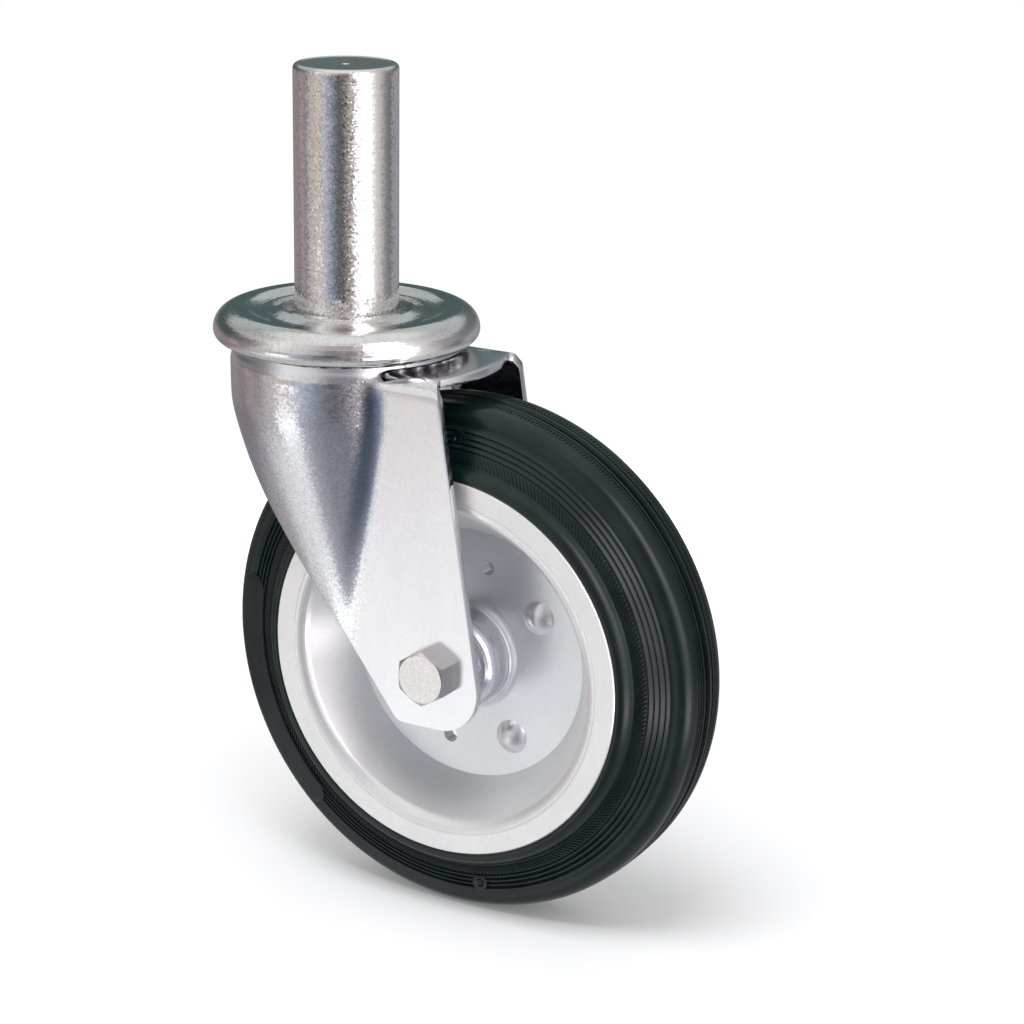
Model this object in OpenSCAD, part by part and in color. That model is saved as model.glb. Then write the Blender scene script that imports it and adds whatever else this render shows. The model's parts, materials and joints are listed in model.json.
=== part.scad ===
// Swivel castor for a scaffold tower: plain round stem, double ball race, pressed fork,
// riveted pressed-steel wheel with a solid rubber tyre. Millimetres, +Z up.
// The origin lies on the swivel axis, level with the rim of the top cap.
// The wheel trails towards +X, and its axle runs along Y.

/* [Stem] */
// Diameter of the round stem that slides into the scaffold tube
stem_d = 40; // [30:0.5:50]
// Height of the stem above the rim of the cap
stem_h = 93; // [60:1:140]
// Rounding of the stem's top edge
stem_edge = 2; // [0.5:0.5:4]
// Width of the flare at the foot of the stem
stem_flare = 4; // [1:0.5:4.5]

/* [Swivel head] */
// Outer diameter of the pressed cap
cap_d = 102.4; // [96:0.2:110]
// Sheet thickness of the cap
cap_t = 3; // [2:0.5:4]
// Outer radius of the cap's rolled rim
cap_roll = 8.3; // [7.5:0.1:9]
// Width of the flat between the step on top of the cap and the start of the roll
cap_step_w = 4; // [2:0.5:6]
// Diameter of the round recess that the stem stands in
cap_recess_d = 50; // [49:0.5:56]
// Depth of that recess
cap_recess_h = 2.5; // [1:0.1:4]
// Diameter of the king pin in the bearing
king_d = 20; // [16:0.5:24]
// Thread diameter at the lower end of the king pin
king_thread_d = 16; // [12:1:16]
// Width across flats of the king nut
king_nut_af = 24; // [22:1:27]
// Height of the king nut
king_nut_h = 8; // [6:0.5:9]
// Diameter of the upper balls
upper_ball_d = 8.4; // [7:0.1:8.6]
// Diameter of the lower balls
lower_ball_d = 6; // [4:0.5:7]
// Pitch diameter of the lower balls
lower_pitch_d = 42; // [40:1:46]
// Clearance between neighbouring balls
ball_gap = 0.8; // [0.3:0.1:2]

/* [Fork] */
// Distance over the outsides of the two legs
fork_w = 62.6; // [58:0.2:70]
// Sheet thickness of the fork
fork_t = 3; // [2:0.5:4]
// Outer diameter of the fork's round drum
drum_d = 89.6; // [86:0.2:94]
// Height of the crown below the origin
crown_z = -11.2; // [-12:0.1:-11]
// Height of the flat shelf over the wheel
shelf_z = -16; // [-18:0.5:-15]
// Outer bend radius between the shelf and the legs
bend_r = 6; // [4:0.5:8]
// Radius of the hollow between the drum and the legs
valley_r = 14; // [8:1:20]
// Depth of the straight part of the drum, below the origin
drum_h = 36; // [30:1:42]
// Trail from the swivel axis to the axle
trail = 57.5; // [50:0.5:65]
// Clearance between the tyre and the underside of the shelf
tyre_gap = 8.5; // [5:0.5:20]
// Length of the legs below the axle
leg_below = 22; // [16:0.5:26]
// Distance of the legs' rear edge behind the axle
leg_back = 19.9; // [16:0.5:24]
// Distance of the foot's front corner ahead of the axle
toe_ahead = 14.7; // [10:0.5:20]

/* [Wheel] */
// Height of the tyre over the rim
tyre_h = 26.5; // [22:0.5:30]
// Width of the tyre over its beads
tyre_w = 48; // [44:1:50]
// Width of the tread over its shoulders
tread_w = 28.4; // [24:0.2:32]
// Width of the groove round the middle of the tread
tread_groove_w = 3; // [1:0.5:4]
// Diameter of the rim's outer edge
rim_d = 150; // [140:1:154]
// Width over the two rim lips
rim_w = 48.4; // [40:0.2:50]
// Sheet thickness of the rim halves
rim_t = 3; // [2:0.25:3.5]
// Width of the flat lip of the rim
lip_w = 8.5; // [6:0.5:10]
// Width of the dished wall between the centre plate and the lip
dish_w = 16.5; // [12:0.5:20]
// Number of rivets
rivet_n = 4; // [4:1:6]
// Diameter of the rivet heads
rivet_head_d = 13.4; // [10:0.2:15]
// Diameter of the tooling holes
tool_hole_d = 6; // [4:0.5:8]
// Turn of the first rivet about the axle
rivet_turn = 32.5; // [0:0.5:90]
// Outer diameter of the hub tube
hub_d = 35.8; // [34:0.2:38]
// Length of the hub tube
hub_len = 28; // [22:1:32]
// Height of the drawn collar over the plate
collar_h = 3; // [2:0.5:4]

/* [Axle] */
// Diameter of the axle bolt
bolt_d = 12; // [10:1:14]
// Width across flats of the bolt head and the nut
bolt_af = 19; // [17:1:22]
// Height of the bolt head
bolt_head_h = 7.5; // [6:0.5:9]
// Outer diameter of the sleeve that the rollers run on
sleeve_d = 18; // [16:0.5:19]
// Diameter of the rollers
roller_d = 5.8; // [4:0.1:5.8]
// Number of rollers
roller_n = 11; // [6:1:12]

/* [Hidden] */
$fn = 96;
// Clearance of parts that sit tightly on each other, and of parts that turn
fit = 0.05;
gap = 0.3;

stem_r = stem_d / 2;
cap_r = cap_d / 2;
cap_recess_r = cap_recess_d / 2;
roll_x = cap_r - cap_roll;
cap_step_r = roll_x - cap_step_w;
// The cap's rolled rim stands this high over the step that the stem's scaffold tube meets
roll_top = 0.35;
roll_z = roll_top - cap_roll;
curl_r = 4.2;
// Depth of the shallow trough between the recess and the step
dish_h = 1.6;
// The stem's flare ends this far under the step
flare_top = 0.1;
king_r = king_d / 2;
upper_ball_r = upper_ball_d / 2;
upper_pitch_r = roll_x - 0.6;
upper_ball_z = roll_top - cap_t - gap - upper_ball_r;
upper_ball_n = ball_count(upper_ball_r, upper_pitch_r);
lower_ball_r = lower_ball_d / 2;
lower_pitch_r = lower_pitch_d / 2;
lower_ball_z = crown_z - fork_t - fit - lower_ball_r;
lower_ball_n = ball_count(lower_ball_r, lower_pitch_r);
// The race is a cup with a wall and a floor round and under the balls
race_wall = 2;
race_floor = 3;
race_step_z = lower_ball_z - 2.5;
race_base_z = lower_ball_z - lower_ball_r - gap - race_floor;
race_r = lower_pitch_r + lower_ball_r + race_wall;
king_washer_t = 1.6;
king_nut_z = race_base_z - king_washer_t - king_nut_h;
king_end_z = king_nut_z - 2;

tyre_r = rim_d / 2 + tyre_h;
drop = tyre_r + tyre_gap + fork_t - shelf_z;
fork_half = fork_w / 2;
leg_in = fork_half - fork_t;
drum_r = drum_d / 2;
crown_edge_r = 4;
crown_r = drum_r - 1.3;
crown_hole_r = king_r + 3;
leg_end_z = -drop - leg_below;
// The front edge of the fork runs straight from the drum to the foot of the legs
trim_below = 0.5;
front_slope = (trail - toe_ahead + drum_r) / (-leg_end_z - drum_h - trim_below);
// The rear edge of the legs leans back by this much for each millimetre down
rear_x = 59.2;
rear_slope = (trail + leg_back - rear_x) / (drop + shelf_z);
shelf_bow_r = 60;
shelf_end_x = rear_x + 3.2;
shelf_corner_x = rear_x - 2.4;
foot_r = 17;
toe_r = 6;
// The hollow between drum and leg runs out over this height, by the lean of its axis
valley_run = 22;
valley_lean = 11;
// The tapered lower half of the drum is a cone that leans back to the wheel and meets the legs here
taper_above_axle = 21.2;
taper_ahead = 44.2;
taper_end_z = taper_above_axle - drop;
taper_end_x = trail - taper_ahead;

axle = [trail, 0, -drop];
tyre_half = tyre_w / 2;
rim_r = rim_d / 2;
rim_half = rim_w / 2;
lip_r = rim_r - lip_w;
lip_bend = 6;
plate_r = lip_r - dish_w;
hub_r = hub_d / 2;
roller_gap = 0.1;
hub_bore_r = sleeve_d / 2 + roller_d + 2 * roller_gap;
collar_r = hub_r + fit + rim_t - 0.6;
collar_fillet = 2.6;
rivet_pitch_r = (collar_r + collar_fillet + plate_r) / 2;
hub_cap_t = 1.5;
hub_cap_len = 12;
thrust_t = 2;
sleeve_len = 2 * (leg_in - thrust_t);
roller_len = 22;
cage_wall = 2.4;
roller_pitch_r = sleeve_d / 2 + roller_gap + roller_d / 2;
bolt_r = bolt_d / 2;
nut_h = 10;
nut_washer_t = 2.5;
nut_washer_d = 24;
thrust_d = 24;
bolt_end = fork_half + nut_washer_t + nut_h + 3;

zinc = [0.80, 0.79, 0.77];
zinc_light = [0.90, 0.91, 0.93];
zinc_dark = [0.62, 0.61, 0.60];
rubber = [0.10, 0.12, 0.12];
ball_steel = [0.70, 0.71, 0.72];

function arc(cx, cy, r, from, to, n = 10) =
    [for (i = [0:n]) let (a = from + (to - from) * i / n) [cx + r * cos(a), cy + r * sin(a)]];

// How many balls fit round a race
function ball_count(ball_r, pitch_r) = floor(180 / asin((ball_r + ball_gap / 2) / pitch_r));

// Turns an (r, y) outline about the wheel's axle; side is -1 for the near half and 1 for the far
module about_axle(side = 1) {
    translate(axle) rotate([side > 0 ? -90 : 90, 0, 0]) rotate_extrude() children();
}

module along_axle(from, to, r) {
    translate([axle.x, from, axle.z]) rotate([-90, 0, 0]) cylinder(h = to - from, r = r);
}

module hex_prism(af, h) {
    cylinder(h = h, d = af / cos(30), $fn = 6);
}

// The round chamfer that a turned hexagon has at its outer end
module hex_turned(af, h, both = false) {
    corner = af / cos(30) / 2;
    drop_z = (corner - af / 2) * tan(30);
    intersection() {
        hex_prism(af, h);
        rotate_extrude() polygon(concat(
            both ? [[0, 0], [af / 2 - 0.2, 0], [corner, drop_z]] : [[0, 0], [corner + 1, 0], [corner + 1, 1]],
            [[corner, h - drop_z], [af / 2 - 0.2, h], [0, h]]));
    }
}

module stem() {
    color(zinc) rotate_extrude() polygon(concat(
        [[0, king_end_z], [king_thread_d / 2 - 1, king_end_z], [king_thread_d / 2, king_end_z + 1],
         [king_thread_d / 2, race_step_z], [king_r, race_step_z], [king_r, -cap_recess_h],
         [stem_r + stem_flare, -cap_recess_h]],
        [for (a = [-90:-10:-180])
            [stem_r + stem_flare * (1 + cos(a)), -flare_top + (cap_recess_h - flare_top - 0.2) * sin(a)]],
        arc(stem_r - stem_edge, stem_h - stem_edge, stem_edge, 0, 90, 6),
        [[stem_r - stem_edge - 0.8, stem_h - 0.25], [1.6, stem_h - 0.5], [0, stem_h - 1.5]]));
}

module top_cap() {
    under = -cap_recess_h - cap_t;
    dish_half = (cap_step_r - cap_recess_r) / 2 - 0.5;
    dish_r = pow(dish_half, 2) / (2 * dish_h) + dish_h / 2;
    dish_angle = asin(dish_half / dish_r) * 0.98;
    color(zinc) rotate_extrude() polygon(concat(
        [[king_r + fit, under], [king_r + fit, -cap_recess_h], [cap_recess_r, -cap_recess_h],
         [cap_recess_r, -0.3], [cap_recess_r + 0.4, 0]],
        arc((cap_recess_r + cap_step_r) / 2, dish_r - dish_h, dish_r, -90 - dish_angle, dish_angle - 90, 8),
        [[cap_step_r - 0.3, -0.1], [cap_step_r, roll_top]],
        arc(roll_x, roll_z, cap_roll, 90, 0, 14),
        arc(cap_r - curl_r, roll_z, curl_r, 0, -90, 8),
        arc(cap_r - curl_r, roll_z, curl_r - cap_t, -90, 0, 6),
        arc(roll_x, roll_z, cap_roll - cap_t, 0, 90, 12),
        [[cap_step_r, roll_top - cap_t], [cap_step_r - 2, -cap_t - 0.6],
         [(cap_recess_r + cap_step_r) / 2, -cap_t - dish_h], [cap_recess_r + cap_t, under]]));
}

module lower_race() {
    color(zinc_dark) difference() {
        rotate_extrude() polygon([
            [king_thread_d / 2 + fit, race_base_z], [race_r - 1, race_base_z], [race_r, race_base_z + 1],
            [race_r, lower_ball_z - 1], [lower_pitch_r - 4, lower_ball_z - 1],
            [king_r + 2, race_step_z], [king_thread_d / 2 + fit, race_step_z]]);
        rotate_extrude() translate([lower_pitch_r, lower_ball_z]) circle(r = lower_ball_r + gap);
    }
}

module king_washer() {
    color(zinc_dark) translate([0, 0, race_base_z - king_washer_t]) difference() {
        cylinder(h = king_washer_t, d = king_nut_af + 6);
        translate([0, 0, -1]) cylinder(h = king_washer_t + 2, d = king_thread_d + 2 * gap);
    }
}

module king_nut() {
    color(zinc_dark) translate([0, 0, king_nut_z]) difference() {
        hex_turned(king_nut_af, king_nut_h, true);
        translate([0, 0, -1]) cylinder(h = king_nut_h + 2, d = king_thread_d + 2 * fit);
    }
}

// A ring of balls about the swivel axis
module ball_ring(n, pitch_r, r, z) {
    for (i = [0:n - 1])
        rotate([0, 0, 360 * i / n]) translate([pitch_r, 0, z]) sphere(r = r, $fn = 48);
}

module upper_balls() {
    color(ball_steel) ball_ring(upper_ball_n, upper_pitch_r, upper_ball_r, upper_ball_z);
}

module lower_balls() {
    color(ball_steel) ball_ring(lower_ball_n, lower_pitch_r, lower_ball_r, lower_ball_z);
}

// The drum's straight wall and domed crown, drawn in by d from the outside
module drum(d) {
    rotate_extrude() polygon(concat(
        [[0, crown_z - d]],
        arc(crown_r - crown_edge_r, crown_z - crown_edge_r, crown_edge_r - d * 0.98, 90, 0, 8),
        [[drum_r - d, shelf_z - 4], [drum_r - d, taper_end_z - 4], [0, taper_end_z - 4]]));
}

// The leaning cone that narrows the drum into the legs
module taper(d) {
    lean = atan2(taper_end_x, -taper_end_z - drum_h);
    run = norm([taper_end_x, -taper_end_z - drum_h]);
    rate = (drum_r - fork_half) / run;
    up = 60;
    down = 20;
    translate([0, 0, -drum_h]) rotate([180, lean, 0]) translate([0, 0, -up])
        cylinder(h = up + run + down, r1 = drum_r + rate * up - d, r2 = fork_half - rate * down - d);
}

// The shelf and both legs as one folded strip, seen along X
module saddle(d) {
    w = fork_half - d;
    r = bend_r - d;
    rotate([90, 0, 90]) linear_extrude(height = trail + 2 * leg_back) polygon(concat(
        [[-w, leg_end_z - 10], [w, leg_end_z - 10]],
        arc(w - r, shelf_z - d - r, r, 0, 90, 10),
        arc(r - w, shelf_z - d - r, r, 90, 180, 10)));
}

// The hollow that blends the straight wall of the drum into one leg, and runs out along the taper
module valley(side, d) {
    x = sqrt(pow(drum_r + valley_r, 2) - pow(fork_half + valley_r, 2));
    y = fork_half + valley_r;
    contact = valley_r / (drum_r + valley_r);
    top_z = shelf_z - bend_r;
    module corner() {
        polygon([[x, 10], [x, fork_half - d], [x * (1 - contact), y * (1 - contact)], [10, 10]]);
    }
    mirror([0, side > 0 ? 0 : 1, 0]) {
        translate([0, 0, -drum_h]) linear_extrude(height = drum_h + top_z) difference() {
            corner();
            translate([x, y]) circle(r = valley_r + d);
        }
        difference() {
            translate([0, 0, -drum_h - valley_run]) linear_extrude(height = valley_run) corner();
            translate([x, y, -drum_h]) rotate([valley_lean, valley_lean, 0]) translate([0, 0, -2 * valley_run])
                cylinder(h = 4 * valley_run, r = valley_r + d);
        }
    }
}

module fork_form(d) {
    intersection() {
        drum(d);
        taper(d);
    }
    saddle(d);
    valley(-1, d);
    valley(1, d);
}

// The outline of the fork seen from the side, along Y
module fork_side() {
    toe_z = leg_end_z;
    function front_x(z) = -drum_r - front_slope * (z + drum_h + trim_below);
    function back_x(z) = rear_x + rear_slope * (shelf_z - z);
    rotate([90, 0, 0]) linear_extrude(height = 2 * drum_d, center = true) difference() {
        polygon([[-drum_r - 20, 5], [front_x(-10), -10], [front_x(toe_z), toe_z],
                 [back_x(toe_z), toe_z], [back_x(shelf_z - bend_r), shelf_z - bend_r],
                 [shelf_corner_x, shelf_z], [shelf_corner_x, 5]]);
        difference() {
            translate([back_x(toe_z) - foot_r, toe_z - 1]) square([foot_r + 1, foot_r + 1]);
            translate([back_x(toe_z) - foot_r - 1, toe_z + foot_r]) circle(r = foot_r);
        }
        difference() {
            translate([front_x(toe_z) - 2, toe_z - 1]) square([toe_r + 2, toe_r - 1]);
            translate([front_x(toe_z) + toe_r - 1, toe_z + toe_r]) circle(r = toe_r);
        }
    }
}

module fork() {
    color(zinc) difference() {
        union() {
            intersection() {
                difference() {
                    fork_form(0);
                    fork_form(fork_t);
                }
                fork_side();
            }
            // The shelf's rear edge is bowed in plan
            intersection() {
                translate([shelf_end_x - shelf_bow_r, 0, shelf_z - fork_t]) cylinder(h = fork_t, r = shelf_bow_r);
                translate([drum_r, bend_r - fork_half, shelf_z - fork_t]) cube([40, fork_w - 2 * bend_r, fork_t]);
            }
        }
        translate([0, 0, crown_z - fork_t - 1]) cylinder(h = fork_t + 2, r = crown_hole_r);
        along_axle(-fork_half - 1, fork_half + 1, bolt_r + 0.2);
    }
}

module axle_bolt() {
    color(zinc_light) {
        translate([axle.x, -fork_half, axle.z]) rotate([90, 30, 0]) hex_turned(bolt_af, bolt_head_h);
        along_axle(-fork_half, bolt_end, bolt_r);
    }
}

module axle_washer() {
    color(zinc_light) difference() {
        along_axle(fork_half, fork_half + nut_washer_t, nut_washer_d / 2);
        along_axle(fork_half - 1, fork_half + nut_washer_t + 1, bolt_r + 0.3);
    }
}

module axle_nut() {
    start = fork_half + nut_washer_t;
    color(zinc_light) difference() {
        union() {
            translate([axle.x, start, axle.z]) rotate([-90, 30, 0]) hex_turned(bolt_af, nut_h * 0.75, true);
            along_axle(start + nut_h * 0.7, start + nut_h, bolt_af / 2 - 1.6);
        }
        along_axle(start - 1, start + nut_h + 1, bolt_r + fit);
    }
}

module axle_sleeve() {
    color(ball_steel) difference() {
        along_axle(-sleeve_len / 2, sleeve_len / 2, sleeve_d / 2);
        along_axle(-sleeve_len / 2 - 1, sleeve_len / 2 + 1, bolt_r + fit);
    }
}

module thrust_washer(side) {
    inner = leg_in - thrust_t;
    color(zinc_dark) difference() {
        along_axle(side > 0 ? inner : -leg_in, side > 0 ? leg_in : -inner, thrust_d / 2);
        along_axle(-leg_in - 1, leg_in + 1, bolt_r + fit);
    }
}

// One half of the tyre's outline, from the tread's centre to the bead; r runs in x, width in y
bead_w = 5;
bead_step = 4.2;
side_lean = 0.38;
ridge_rise = 0.7;
shoulder_r = 3.4;
tread_dome = 0.35;
groove_depth = 3.5;
function side_y(r) = tyre_half - bead_step + 0.2 - side_lean * (r - rim_r - bead_w);
ridge_n = 4;
ridge_from = rim_r + bead_w + 5.5;
ridge_to = tyre_r - shoulder_r - 4.3;
ridge_pitch = (ridge_to - ridge_from) / ridge_n;
function ridge(r) = [[r, side_y(r)], [r + 0.2 * ridge_pitch, side_y(r) + ridge_rise],
                     [r + 0.45 * ridge_pitch, side_y(r) + ridge_rise], [r + 0.65 * ridge_pitch, side_y(r)]];
tread_half = tread_w / 2;
tread_flat = tread_half - shoulder_r;
groove_half = tread_groove_w / 2;
function tread_r(y) = tyre_r - tread_dome * pow(y / tread_flat, 2);
function tread_rib(y) = [[tread_r(y), y], [tread_r(y) - 0.8, y - 0.3], [tread_r(y) - 0.8, y - 0.9],
                         [tread_r(y), y - 1.2]];
tyre_outline = concat(
    [[lip_r, 0], [lip_r, rim_half - rim_t], [rim_r, rim_half - rim_t], [rim_r, tyre_half - 0.4],
     [rim_r + 0.6, tyre_half], [rim_r + 1.4, tyre_half]],
    arc(rim_r + bead_w - 1.6, tyre_half - 2.2, 1.6, 80, 0, 6),
    [[rim_r + bead_w, side_y(rim_r + bead_w)]],
    [for (i = [0:ridge_n - 1]) each ridge(ridge_from + ridge_pitch * i)],
    arc(tyre_r - tread_dome - shoulder_r, tread_flat, shoulder_r, 80, 10, 10),
    [for (share = [0.8, 0.7]) [tread_r(share * tread_flat), share * tread_flat]],
    tread_rib(0.6 * tread_flat), tread_rib(0.38 * tread_flat),
    [[tread_r(groove_half), groove_half], [tyre_r - groove_depth, groove_half - 0.5], [tyre_r - groove_depth, 0]]);

module tyre() {
    color(rubber) about_axle() polygon(concat(
        tyre_outline, [for (i = [len(tyre_outline) - 2:-1:1]) [tyre_outline[i].x, -tyre_outline[i].y]]));
}

// The wall of the dish is the line from the plate's edge that touches the lip's bend
wall_dist = norm([lip_r - plate_r, rim_half - lip_bend - rim_t]);
wall_angle = atan2(rim_half - lip_bend - rim_t, lip_r - plate_r) + asin(lip_bend / wall_dist);

// One pressed half of the rim: collar, flat plate, dished wall and flat lip
module rim_half_outline() {
    c = rim_half - lip_bend;
    n = 90 - wall_angle;
    polygon(concat(
        [[hub_r + fit, 0], [hub_r + fit, rim_t + collar_h], [collar_r - 0.4, rim_t + collar_h],
         [collar_r, rim_t + collar_h - 0.4]],
        arc(collar_r + collar_fillet, rim_t + collar_fillet, collar_fillet, 180, 270, 6),
        [[plate_r, rim_t]],
        arc(lip_r, c, lip_bend, 180 - n, 90, 6),
        [[lip_r + 0.2, rim_half - 0.35], [lip_r + 0.5, rim_half - 0.35], [lip_r + 0.7, rim_half],
         [rim_r - 0.5, rim_half], [rim_r, rim_half - 0.5], [rim_r, rim_half - rim_t],
         [lip_r, rim_half - rim_t]],
        arc(lip_r, c, lip_bend - rim_t, 90, 180 - n, 6),
        [[plate_r + rim_t * tan((90 - n) / 2), 0]]));
}

module rim(side) {
    color(zinc_light) difference() {
        about_axle(side) rim_half_outline();
        for (i = [0:rivet_n - 1]) at_rivet(i) along_y(rivet_shank_r + fit);
        for (i = [0, rivet_n / 2]) at_rivet(i + 0.5) along_y(tool_hole_d / 2);
    }
}

rivet_shank_r = 3.5;
rivet_rise = 3.2;

module at_rivet(i) {
    a = rivet_turn + 360 * i / rivet_n;
    translate([axle.x + rivet_pitch_r * cos(a), 0, axle.z + rivet_pitch_r * sin(a)]) children();
}

module along_y(r, half = 10) {
    rotate([90, 0, 0]) cylinder(h = 2 * half, r = r, center = true);
}

// One rivet: a shank with a low dome at each end
module rivet() {
    head_r = rivet_head_d / 2;
    dome_r = (pow(head_r, 2) + pow(rivet_rise, 2)) / (2 * rivet_rise);
    half_angle = asin(head_r / dome_r);
    rotate([90, 0, 0]) rotate_extrude() polygon(concat(
        arc(0, rim_t + rivet_rise - dome_r, dome_r, 90, 90 - half_angle, 8),
        [[rivet_shank_r, rim_t], [rivet_shank_r, -rim_t]],
        arc(0, dome_r - rim_t - rivet_rise, dome_r, half_angle - 90, -90, 8)), $fn = 48);
}

module rivets() {
    color(zinc_light) for (i = [0:rivet_n - 1]) at_rivet(i) rivet();
}

module hub_tube() {
    color(zinc_dark) difference() {
        along_axle(-hub_len / 2, hub_len / 2, hub_r);
        along_axle(-hub_len / 2 - 1, hub_len / 2 + 1, hub_bore_r);
    }
}

module rollers() {
    color(ball_steel) for (i = [0:roller_n - 1])
        translate(axle) rotate([0, 360 * i / roller_n, 0]) translate([roller_pitch_r, 0, 0])
            rotate([90, 0, 0]) cylinder(h = roller_len, d = roller_d, center = true);
}

module roller_cage() {
    r = roller_pitch_r;
    color(zinc_dark) difference() {
        along_axle(-roller_len / 2 - 2.5, roller_len / 2 + 2.5, r + cage_wall / 2);
        along_axle(-hub_len, hub_len, r - cage_wall / 2);
        for (i = [0:roller_n - 1])
            translate(axle) rotate([0, 360 * i / roller_n, 0]) translate([r, 0, 0])
                rotate([90, 0, 0]) cylinder(h = roller_len + 0.4, r = roller_d / 2 + 0.1, center = true);
    }
}

// A domed dust cap that stands on the collar and covers the end of the hub tube
module hub_cap(side) {
    seat = rim_t + collar_h;
    bend = 7;
    r = hub_r + gap + hub_cap_t;
    end = hub_len / 2 + hub_cap_t + 4.5;
    color(zinc_light) about_axle(side) polygon(concat(
        [[r, seat], [r, end - bend]],
        arc(r - bend, end - bend, bend, 0, 90, 8),
        [[sleeve_d / 2 + 0.5, end], [sleeve_d / 2 + 0.5, end - hub_cap_t]],
        arc(r - bend, end - bend, bend - hub_cap_t, 90, 0, 8),
        [[r - hub_cap_t, seat]]));
}

stem();
top_cap();
lower_race();
king_washer();
king_nut();
fork();
upper_balls();
lower_balls();
axle_bolt();
axle_washer();
axle_nut();
axle_sleeve();
thrust_washer(-1);  // near_thrust_washer
thrust_washer(1);  // far_thrust_washer
tyre();
rim(-1);  // near_rim
rim(1);  // far_rim
rivets();
hub_tube();
roller_cage();
rollers();
hub_cap(-1);  // near_hub_cap
hub_cap(1);  // far_hub_cap
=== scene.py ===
"""Looks of the scaffold castor: pressed fork, grooved tyre, zinc finishes, floor, light and camera."""
import json
import math

import bmesh
import bpy
import numpy as np
from mathutils import Matrix, Vector


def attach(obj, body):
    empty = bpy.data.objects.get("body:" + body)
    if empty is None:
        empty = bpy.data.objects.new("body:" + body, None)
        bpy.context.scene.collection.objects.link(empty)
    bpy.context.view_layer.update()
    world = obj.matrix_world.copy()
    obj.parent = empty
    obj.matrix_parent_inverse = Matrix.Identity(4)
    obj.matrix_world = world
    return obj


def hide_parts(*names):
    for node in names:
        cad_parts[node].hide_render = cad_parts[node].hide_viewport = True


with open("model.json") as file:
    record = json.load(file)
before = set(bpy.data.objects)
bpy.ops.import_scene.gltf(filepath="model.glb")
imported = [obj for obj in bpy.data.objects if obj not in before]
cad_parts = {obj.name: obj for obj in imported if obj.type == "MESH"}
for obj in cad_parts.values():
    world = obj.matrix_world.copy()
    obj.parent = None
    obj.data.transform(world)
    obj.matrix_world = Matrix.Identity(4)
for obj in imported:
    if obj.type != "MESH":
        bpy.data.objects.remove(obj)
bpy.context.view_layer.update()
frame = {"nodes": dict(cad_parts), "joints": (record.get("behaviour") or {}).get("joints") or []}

bl_info = {
    "name": "Scaffold castor",
    "version": (1, 0, 0),
    "blender": (4, 5, 0),
    "location": "3D View > Sidebar > Castor",
    "description": "Builds the visible pieces and finishes of a swivelling scaffold castor",
    "category": "Add Mesh",
}

MM = 0.001
VIEW_TURN = 29.824
AXLE = [v / MM for v in next(j for j in frame["joints"] if j["name"] == "wheel_spin")["pos_m"]]


# Small helpers that every piece uses

def smooth_step(t):
    """Eases from 0 to 1."""
    t = min(max(t, 0.0), 1.0)
    return t * t * (3 - 2 * t)


def arc(centre, radius, start, end, steps):
    """Points on an arc in a plane, with angles in degrees."""
    turn = [math.radians(start + (end - start) * i / steps) for i in range(steps + 1)]
    return [(centre[0] + radius * math.cos(a), centre[1] + radius * math.sin(a)) for a in turn]


def finish_piece(mesh_name, bm, material, smooth_angle=35):
    """Makes an object in metres from a bmesh in millimetres."""
    bmesh.ops.scale(bm, vec=(MM, MM, MM), verts=bm.verts)
    mesh = bpy.data.meshes.new(mesh_name)
    bm.to_mesh(mesh)
    bm.free()
    mesh.shade_smooth()
    mesh.set_sharp_from_angle(angle=math.radians(smooth_angle))
    mesh.materials.append(material)
    piece = bpy.data.objects.new(mesh_name, mesh)
    bpy.context.scene.collection.objects.link(piece)
    return piece


# The fork, in millimetres, for the half with y below 0

FORK_HALF = 31.3
SHEET = 3.0
BEND = 6.0
SHELF_Z = -16.0
BEND_Z = SHELF_Z - BEND
HOLLOW = 14.0
CROWN_Z = -11.2
HUB_OF_FAN = (36.0, BEND_Z)
FOOT_Z = -151.0
TOE = 6.0
HEEL = 17.0
REAR_LEAN = 0.161
FRONT_LEAN = 0.765
CORNER_X = 56.8
BOW = 60.0
FILLET = 2.4
CROWN_HOLE = 13.0


def drum_at(z):
    """Centre and radius of the round front of the fork at one height."""
    t = (-36.0 - z) / 85.0
    t = min((t + math.sqrt(t * t + 0.0025)) / 2, 1.0)
    lean = 0.4965 * t + 0.5035 * t * t
    shrink = 0.904 * t + 1.037 * t * t - 0.941 * t ** 3
    return 19.3 * lean, 44.8 - 13.5 * shrink


def front_at(z):
    """Where the straight front edge of the fork lies at one height."""
    toe_z = FOOT_Z + TOE
    line = 7.8 - FRONT_LEAN * (z + 105.3)
    slant = math.hypot(1, FRONT_LEAN)
    centre = 7.8 - FRONT_LEAN * (toe_z + 105.3) + TOE * slant
    if z < toe_z - TOE * FRONT_LEAN / slant:
        return centre - math.sqrt(max(TOE ** 2 - (z - toe_z) ** 2, 0))
    return line


def rear_at(z):
    """Where the rear edge of the leg lies at one height."""
    heel_z = FOOT_Z + HEEL
    line = 59.2 - REAR_LEAN * (z - SHELF_Z)
    slant = math.hypot(1, REAR_LEAN)
    centre = 59.2 - REAR_LEAN * (heel_z - SHELF_Z) - HEEL * slant
    if z < heel_z + HEEL * REAR_LEAN / slant:
        return centre + math.sqrt(max(HEEL ** 2 - (z - heel_z) ** 2, 0))
    return line


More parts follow.
